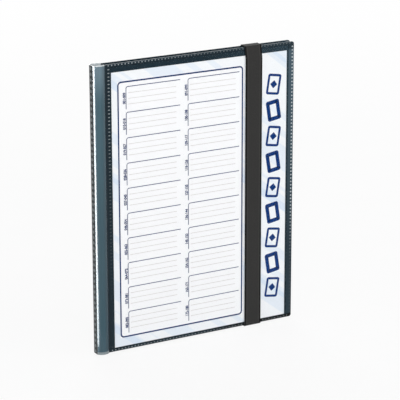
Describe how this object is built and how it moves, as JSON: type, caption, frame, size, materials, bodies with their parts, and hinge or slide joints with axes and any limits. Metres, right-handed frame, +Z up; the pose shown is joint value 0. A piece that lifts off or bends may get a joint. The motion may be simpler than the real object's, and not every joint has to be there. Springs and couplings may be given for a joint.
{
  "type": "trading card album",
  "caption": "Upright soft-cover pocket album with a rounded film spine, clear front over an index sheet, fanning pocket leaves and a flat elastic band.",
  "frame": {"origin": "middle of the closed album's footprint, on the surface that it stands on", "axes": "+X from the spine to the fore-edge, -Y out of the front cover, +Z up along the spine"},
  "size_m": [0.2392, 0.016, 0.3123],
  "materials": {
    "smoky_film": "smoky soft film, glossy",
    "binding_plastic": "welded milky film stack",
    "clear_film": "clear soft film, glossy",
    "index_paper": "printed uncoated paper",
    "dark_lining": "dark smoky film, satin",
    "back_film": "smoky soft film, glossy",
    "elastic_webbing": "ribbed elastic webbing",
    "rivet_metal": "pressed steel",
    "leaf_film": "clear film with a fine orange-peel",
    "pocket_film": "clear film with a fine orange-peel"
  },
  "bodies": {
    "spine": {"spine_film": "smoky_film", "page_binding": "binding_plastic"},
    "front_cover": {"front_window_film": "clear_film", "index_sheet": "index_paper", "front_lining": "dark_lining"},
    "back_cover": {"back_outer_film": "back_film", "back_lining": "dark_lining", "elastic_band": "elastic_webbing", "band_rivets": "rivet_metal"},
    "leaf_01": {"leaf_01_sheet": "leaf_film", "leaf_01_pockets": "pocket_film"},
    "leaf_02": {"leaf_02_sheet": "leaf_film", "leaf_02_pockets": "pocket_film"},
    "leaf_03": {"leaf_03_sheet": "leaf_film", "leaf_03_pockets": "pocket_film"},
    "leaf_04": {"leaf_04_sheet": "leaf_film", "leaf_04_pockets": "pocket_film"},
    "leaf_05": {"leaf_05_sheet": "leaf_film", "leaf_05_pockets": "pocket_film"},
    "leaf_06": {"leaf_06_sheet": "leaf_film", "leaf_06_pockets": "pocket_film"},
    "leaf_07": {"leaf_07_sheet": "leaf_film", "leaf_07_pockets": "pocket_film"},
    "leaf_08": {"leaf_08_sheet": "leaf_film", "leaf_08_pockets": "pocket_film"},
    "leaf_09": {"leaf_09_sheet": "leaf_film", "leaf_09_pockets": "pocket_film"},
    "leaf_10": {"leaf_10_sheet": "leaf_film", "leaf_10_pockets": "pocket_film"},
    "leaf_11": {"leaf_11_sheet": "leaf_film", "leaf_11_pockets": "pocket_film"},
    "leaf_12": {"leaf_12_sheet": "leaf_film", "leaf_12_pockets": "pocket_film"},
    "leaf_13": {"leaf_13_sheet": "leaf_film", "leaf_13_pockets": "pocket_film"},
    "leaf_14": {"leaf_14_sheet": "leaf_film", "leaf_14_pockets": "pocket_film"},
    "leaf_15": {"leaf_15_sheet": "leaf_film", "leaf_15_pockets": "pocket_film"},
    "leaf_16": {"leaf_16_sheet": "leaf_film", "leaf_16_pockets": "pocket_film"},
    "leaf_17": {"leaf_17_sheet": "leaf_film", "leaf_17_pockets": "pocket_film"},
    "leaf_18": {"leaf_18_sheet": "leaf_film", "leaf_18_pockets": "pocket_film"},
    "leaf_19": {"leaf_19_sheet": "leaf_film", "leaf_19_pockets": "pocket_film"},
    "leaf_20": {"leaf_20_sheet": "leaf_film", "leaf_20_pockets": "pocket_film"}
  },
  "joints": [
    {"name": "front_cover_hinge", "type": "hinge", "parent": "spine", "child": "front_cover", "pos_m": [-0.10538, -0.00456, 0.00115], "axis": [0, 0, -1], "range_deg": [0, 90], "deforming": ["elastic_band"]},
    {"name": "back_cover_hinge", "type": "hinge", "parent": "spine", "child": "back_cover", "pos_m": [-0.10538, 0.00456, 0.00115], "axis": [0, 0, 1], "range_deg": [0, 90]},
    {"name": "leaf_01_turn", "type": "hinge", "parent": "spine", "child": "leaf_01", "pos_m": [-0.10388, -0.00298, 0.00115], "axis": [0, 0, -1], "range_deg": [0, 80]},
    {"name": "leaf_02_turn", "type": "hinge", "parent": "spine", "child": "leaf_02", "pos_m": [-0.10372, -0.00266, 0.00115], "axis": [0, 0, -1], "range_deg": [0, 72]},
    {"name": "leaf_03_turn", "type": "hinge", "parent": "spine", "child": "leaf_03", "pos_m": [-0.10358, -0.00234, 0.00115], "axis": [0, 0, -1], "range_deg": [0, 64]},
    {"name": "leaf_04_turn", "type": "hinge", "parent": "spine", "child": "leaf_04", "pos_m": [-0.10346, -0.00202, 0.00115], "axis": [0, 0, -1], "range_deg": [0, 56]},
    {"name": "leaf_05_turn", "type": "hinge", "parent": "spine", "child": "leaf_05", "pos_m": [-0.10337, -0.0017, 0.00115], "axis": [0, 0, -1], "range_deg": [0, 48]},
    {"name": "leaf_06_turn", "type": "hinge", "parent": "spine", "child": "leaf_06", "pos_m": [-0.10328, -0.00138, 0.00115], "axis": [0, 0, -1], "range_deg": [0, 40]},
    {"name": "leaf_07_turn", "type": "hinge", "parent": "spine", "child": "leaf_07", "pos_m": [-0.10322, -0.00106, 0.00115], "axis": [0, 0, -1], "range_deg": [0, 32]},
    {"name": "leaf_08_turn", "type": "hinge", "parent": "spine", "child": "leaf_08", "pos_m": [-0.10318, -0.00074, 0.00115], "axis": [0, 0, -1], "range_deg": [0, 24]},
    {"name": "leaf_09_turn", "type": "hinge", "parent": "spine", "child": "leaf_09", "pos_m": [-0.10315, -0.00042, 0.00115], "axis": [0, 0, -1], "range_deg": [0, 16]},
    {"name": "leaf_10_turn", "type": "hinge", "parent": "spine", "child": "leaf_10", "pos_m": [-0.10313, -0.0001, 0.00115], "axis": [0, 0, -1], "range_deg": [0, 8]},
    {"name": "leaf_11_turn", "type": "hinge", "parent": "spine", "child": "leaf_11", "pos_m": [-0.10314, 0.00022, 0.00115], "axis": [0, 0, 1], "range_deg": [0, 8]},
    {"name": "leaf_12_turn", "type": "hinge", "parent": "spine", "child": "leaf_12", "pos_m": [-0.10316, 0.00054, 0.00115], "axis": [0, 0, 1], "range_deg": [0, 16]},
    {"name": "leaf_13_turn", "type": "hinge", "parent": "spine", "child": "leaf_13", "pos_m": [-0.10319, 0.00086, 0.00115], "axis": [0, 0, 1], "range_deg": [0, 24]},
    {"name": "leaf_14_turn", "type": "hinge", "parent": "spine", "child": "leaf_14", "pos_m": [-0.10324, 0.00118, 0.00115], "axis": [0, 0, 1], "range_deg": [0, 32]},
    {"name": "leaf_15_turn", "type": "hinge", "parent": "spine", "child": "leaf_15", "pos_m": [-0.10331, 0.0015, 0.00115], "axis": [0, 0, 1], "range_deg": [0, 40]},
    {"name": "leaf_16_turn", "type": "hinge", "parent": "spine", "child": "leaf_16", "pos_m": [-0.1034, 0.00182, 0.00115], "axis": [0, 0, 1], "range_deg": [0, 48]},
    {"name": "leaf_17_turn", "type": "hinge", "parent": "spine", "child": "leaf_17", "pos_m": [-0.10351, 0.00214, 0.00115], "axis": [0, 0, 1], "range_deg": [0, 56]},
    {"name": "leaf_18_turn", "type": "hinge", "parent": "spine", "child": "leaf_18", "pos_m": [-0.10363, 0.00246, 0.00115], "axis": [0, 0, 1], "range_deg": [0, 64]},
    {"name": "leaf_19_turn", "type": "hinge", "parent": "spine", "child": "leaf_19", "pos_m": [-0.10378, 0.00278, 0.00115], "axis": [0, 0, 1], "range_deg": [0, 72]},
    {"name": "leaf_20_turn", "type": "hinge", "parent": "spine", "child": "leaf_20", "pos_m": [-0.10394, 0.0031, 0.00115], "axis": [0, 0, 1], "range_deg": [0, 80]}
  ],
  "couplings": [
    {"joint": "leaf_01_turn", "follows": "front_cover_hinge", "ratio": 0.88889},
    {"joint": "leaf_02_turn", "follows": "front_cover_hinge", "ratio": 0.8},
    {"joint": "leaf_03_turn", "follows": "front_cover_hinge", "ratio": 0.71111},
    {"joint": "leaf_04_turn", "follows": "front_cover_hinge", "ratio": 0.62222},
    {"joint": "leaf_05_turn", "follows": "front_cover_hinge", "ratio": 0.53333},
    {"joint": "leaf_06_turn", "follows": "front_cover_hinge", "ratio": 0.44444},
    {"joint": "leaf_07_turn", "follows": "front_cover_hinge", "ratio": 0.35556},
    {"joint": "leaf_08_turn", "follows": "front_cover_hinge", "ratio": 0.26667},
    {"joint": "leaf_09_turn", "follows": "front_cover_hinge", "ratio": 0.17778},
    {"joint": "leaf_10_turn", "follows": "front_cover_hinge", "ratio": 0.088888},
    {"joint": "leaf_11_turn", "follows": "back_cover_hinge", "ratio": 0.088888},
    {"joint": "leaf_12_turn", "follows": "back_cover_hinge", "ratio": 0.17778},
    {"joint": "leaf_13_turn", "follows": "back_cover_hinge", "ratio": 0.26667},
    {"joint": "leaf_14_turn", "follows": "back_cover_hinge", "ratio": 0.35556},
    {"joint": "leaf_15_turn", "follows": "back_cover_hinge", "ratio": 0.44444},
    {"joint": "leaf_16_turn", "follows": "back_cover_hinge", "ratio": 0.53333},
    {"joint": "leaf_17_turn", "follows": "back_cover_hinge", "ratio": 0.62222},
    {"joint": "leaf_18_turn", "follows": "back_cover_hinge", "ratio": 0.71111},
    {"joint": "leaf_19_turn", "follows": "back_cover_hinge", "ratio": 0.8},
    {"joint": "leaf_20_turn", "follows": "back_cover_hinge", "ratio": 0.88889}
  ]
}
